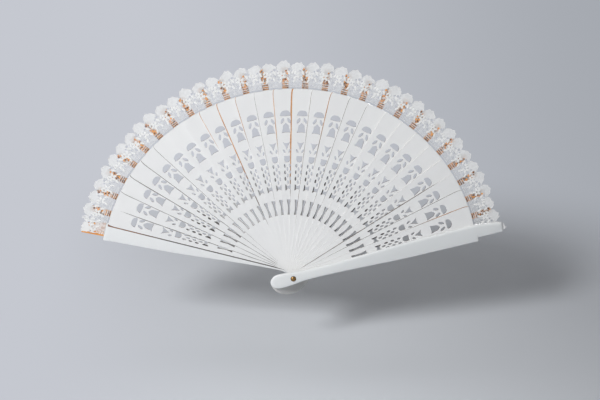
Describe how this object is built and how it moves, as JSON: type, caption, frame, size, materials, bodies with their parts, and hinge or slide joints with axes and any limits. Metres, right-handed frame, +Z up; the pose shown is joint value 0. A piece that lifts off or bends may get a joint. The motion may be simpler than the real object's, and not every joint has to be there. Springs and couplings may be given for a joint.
{
  "type": "folding fan",
  "caption": "Folding hand fan: pierced white wooden sticks between plain guards on a brass pivot rivet, with a scalloped lace strip round the outer edge.",
  "frame": {"origin": "on the rivet's axis, at the outer face of the front guard", "axes": "+Z up through the middle of the open fan, +X towards the front guard's side, +Y back through the stack of sticks"},
  "size_m": [0.4046, 0.0355, 0.2285],
  "materials": {
    "stick_paint": "thin white paint on light wood, satin, bare wood at the tongues",
    "guard_paint": "white paint, satin, rounded edges",
    "lace": "white embroidered net, matt and translucent",
    "brass": "polished brass"
  },
  "bodies": {
    "front_guard": {"front_guard": "guard_paint", "lace_front_guard": "lace", "pivot_rivet": "brass", "rivet_washer": "brass"},
    "stick_01": {"stick_01": "stick_paint", "lace_01": "lace"},
    "stick_02": {"stick_02": "stick_paint", "lace_02": "lace"},
    "stick_03": {"stick_03": "stick_paint", "lace_03": "lace"},
    "stick_04": {"stick_04": "stick_paint", "lace_04": "lace"},
    "stick_05": {"stick_05": "stick_paint", "lace_05": "lace"},
    "stick_06": {"stick_06": "stick_paint", "lace_06": "lace"},
    "stick_07": {"stick_07": "stick_paint", "lace_07": "lace"},
    "stick_08": {"stick_08": "stick_paint", "lace_08": "lace"},
    "stick_09": {"stick_09": "stick_paint", "lace_09": "lace"},
    "stick_10": {"stick_10": "stick_paint", "lace_10": "lace"},
    "stick_11": {"stick_11": "stick_paint", "lace_11": "lace"},
    "stick_12": {"stick_12": "stick_paint", "lace_12": "lace"},
    "stick_13": {"stick_13": "stick_paint", "lace_13": "lace"},
    "stick_14": {"stick_14": "stick_paint", "lace_14": "lace"},
    "stick_15": {"stick_15": "stick_paint", "lace_15": "lace"},
    "stick_16": {"stick_16": "stick_paint", "lace_16": "lace"},
    "stick_17": {"stick_17": "stick_paint", "lace_17": "lace"},
    "stick_18": {"stick_18": "stick_paint", "lace_18": "lace"},
    "stick_19": {"stick_19": "stick_paint", "lace_19": "lace"},
    "stick_20": {"stick_20": "stick_paint", "lace_20": "lace"},
    "stick_21": {"stick_21": "stick_paint", "lace_21": "lace"},
    "stick_22": {"stick_22": "stick_paint", "lace_22": "lace"},
    "stick_23": {"stick_23": "stick_paint", "lace_23": "lace"},
    "stick_24": {"stick_24": "stick_paint", "lace_24": "lace"},
    "stick_25": {"stick_25": "stick_paint", "lace_25": "lace"},
    "stick_26": {"stick_26": "stick_paint", "lace_26": "lace"},
    "rear_guard": {"rear_guard": "guard_paint", "lace_rear_guard": "lace"}
  },
  "joints": [
    {"name": "fold", "type": "hinge", "parent": "front_guard", "child": "rear_guard", "pos_m": [0, 0, 0], "axis": [0, 1, 0], "range_deg": [0, 153.6]},
    {"name": "turn_01", "type": "hinge", "parent": "front_guard", "child": "stick_01", "pos_m": [0, 0, 0], "axis": [0, 1, 0], "range_deg": [0, 5.71]},
    {"name": "turn_02", "type": "hinge", "parent": "front_guard", "child": "stick_02", "pos_m": [0, 0, 0], "axis": [0, 1, 0], "range_deg": [0, 11.4]},
    {"name": "turn_03", "type": "hinge", "parent": "front_guard", "child": "stick_03", "pos_m": [0, 0, 0], "axis": [0, 1, 0], "range_deg": [0, 17.09]},
    {"name": "turn_04", "type": "hinge", "parent": "front_guard", "child": "stick_04", "pos_m": [0, 0, 0], "axis": [0, 1, 0], "range_deg": [0, 22.78]},
    {"name": "turn_05", "type": "hinge", "parent": "front_guard", "child": "stick_05", "pos_m": [0, 0, 0], "axis": [0, 1, 0], "range_deg": [0, 28.46]},
    {"name": "turn_06", "type": "hinge", "parent": "front_guard", "child": "stick_06", "pos_m": [0, 0, 0], "axis": [0, 1, 0], "range_deg": [0, 34.15]},
    {"name": "turn_07", "type": "hinge", "parent": "front_guard", "child": "stick_07", "pos_m": [0, 0, 0], "axis": [0, 1, 0], "range_deg": [0, 39.84]},
    {"name": "turn_08", "type": "hinge", "parent": "front_guard", "child": "stick_08", "pos_m": [0, 0, 0], "axis": [0, 1, 0], "range_deg": [0, 45.53]},
    {"name": "turn_09", "type": "hinge", "parent": "front_guard", "child": "stick_09", "pos_m": [0, 0, 0], "axis": [0, 1, 0], "range_deg": [0, 51.22]},
    {"name": "turn_10", "type": "hinge", "parent": "front_guard", "child": "stick_10", "pos_m": [0, 0, 0], "axis": [0, 1, 0], "range_deg": [0, 56.91]},
    {"name": "turn_11", "type": "hinge", "parent": "front_guard", "child": "stick_11", "pos_m": [0, 0, 0], "axis": [0, 1, 0], "range_deg": [0, 62.6]},
    {"name": "turn_12", "type": "hinge", "parent": "front_guard", "child": "stick_12", "pos_m": [0, 0, 0], "axis": [0, 1, 0], "range_deg": [0, 68.29]},
    {"name": "turn_13", "type": "hinge", "parent": "front_guard", "child": "stick_13", "pos_m": [0, 0, 0], "axis": [0, 1, 0], "range_deg": [0, 73.98]},
    {"name": "turn_14", "type": "hinge", "parent": "front_guard", "child": "stick_14", "pos_m": [0, 0, 0], "axis": [0, 1, 0], "range_deg": [0, 79.66]},
    {"name": "turn_15", "type": "hinge", "parent": "front_guard", "child": "stick_15", "pos_m": [0, 0, 0], "axis": [0, 1, 0], "range_deg": [0, 85.35]},
    {"name": "turn_16", "type": "hinge", "parent": "front_guard", "child": "stick_16", "pos_m": [0, 0, 0], "axis": [0, 1, 0], "range_deg": [0, 91.04]},
    {"name": "turn_17", "type": "hinge", "parent": "front_guard", "child": "stick_17", "pos_m": [0, 0, 0], "axis": [0, 1, 0], "range_deg": [0, 96.73]},
    {"name": "turn_18", "type": "hinge", "parent": "front_guard", "child": "stick_18", "pos_m": [0, 0, 0], "axis": [0, 1, 0], "range_deg": [0, 102.42]},
    {"name": "turn_19", "type": "hinge", "parent": "front_guard", "child": "stick_19", "pos_m": [0, 0, 0], "axis": [0, 1, 0], "range_deg": [0, 108.11]},
    {"name": "turn_20", "type": "hinge", "parent": "front_guard", "child": "stick_20", "pos_m": [0, 0, 0], "axis": [0, 1, 0], "range_deg": [0, 113.8]},
    {"name": "turn_21", "type": "hinge", "parent": "front_guard", "child": "stick_21", "pos_m": [0, 0, 0], "axis": [0, 1, 0], "range_deg": [0, 119.49]},
    {"name": "turn_22", "type": "hinge", "parent": "front_guard", "child": "stick_22", "pos_m": [0, 0, 0], "axis": [0, 1, 0], "range_deg": [0, 125.18]},
    {"name": "turn_23", "type": "hinge", "parent": "front_guard", "child": "stick_23", "pos_m": [0, 0, 0], "axis": [0, 1, 0], "range_deg": [0, 130.86]},
    {"name": "turn_24", "type": "hinge", "parent": "front_guard", "child": "stick_24", "pos_m": [0, 0, 0], "axis": [0, 1, 0], "range_deg": [0, 136.55]},
    {"name": "turn_25", "type": "hinge", "parent": "front_guard", "child": "stick_25", "pos_m": [0, 0, 0], "axis": [0, 1, 0], "range_deg": [0, 142.24]},
    {"name": "turn_26", "type": "hinge", "parent": "front_guard", "child": "stick_26", "pos_m": [0, 0, 0], "axis": [0, 1, 0], "range_deg": [0, 147.93]}
  ],
  "couplings": [
    {"joint": "turn_01", "follows": "fold", "ratio": 0.037037},
    {"joint": "turn_02", "follows": "fold", "ratio": 0.074074},
    {"joint": "turn_03", "follows": "fold", "ratio": 0.11111},
    {"joint": "turn_04", "follows": "fold", "ratio": 0.14815},
    {"joint": "turn_05", "follows": "fold", "ratio": 0.18518},
    {"joint": "turn_06", "follows": "fold", "ratio": 0.22222},
    {"joint": "turn_07", "follows": "fold", "ratio": 0.25926},
    {"joint": "turn_08", "follows": "fold", "ratio": 0.2963},
    {"joint": "turn_09", "follows": "fold", "ratio": 0.33333},
    {"joint": "turn_10", "follows": "fold", "ratio": 0.37037},
    {"joint": "turn_11", "follows": "fold", "ratio": 0.40741},
    {"joint": "turn_12", "follows": "fold", "ratio": 0.44444},
    {"joint": "turn_13", "follows": "fold", "ratio": 0.48148},
    {"joint": "turn_14", "follows": "fold", "ratio": 0.51852},
    {"joint": "turn_15", "follows": "fold", "ratio": 0.55556},
    {"joint": "turn_16", "follows": "fold", "ratio": 0.59259},
    {"joint": "turn_17", "follows": "fold", "ratio": 0.62963},
    {"joint": "turn_18", "follows": "fold", "ratio": 0.66667},
    {"joint": "turn_19", "follows": "fold", "ratio": 0.7037},
    {"joint": "turn_20", "follows": "fold", "ratio": 0.74074},
    {"joint": "turn_21", "follows": "fold", "ratio": 0.77778},
    {"joint": "turn_22", "follows": "fold", "ratio": 0.81481},
    {"joint": "turn_23", "follows": "fold", "ratio": 0.85185},
    {"joint": "turn_24", "follows": "fold", "ratio": 0.88889},
    {"joint": "turn_25", "follows": "fold", "ratio": 0.92593},
    {"joint": "turn_26", "follows": "fold", "ratio": 0.96296}
  ]
}
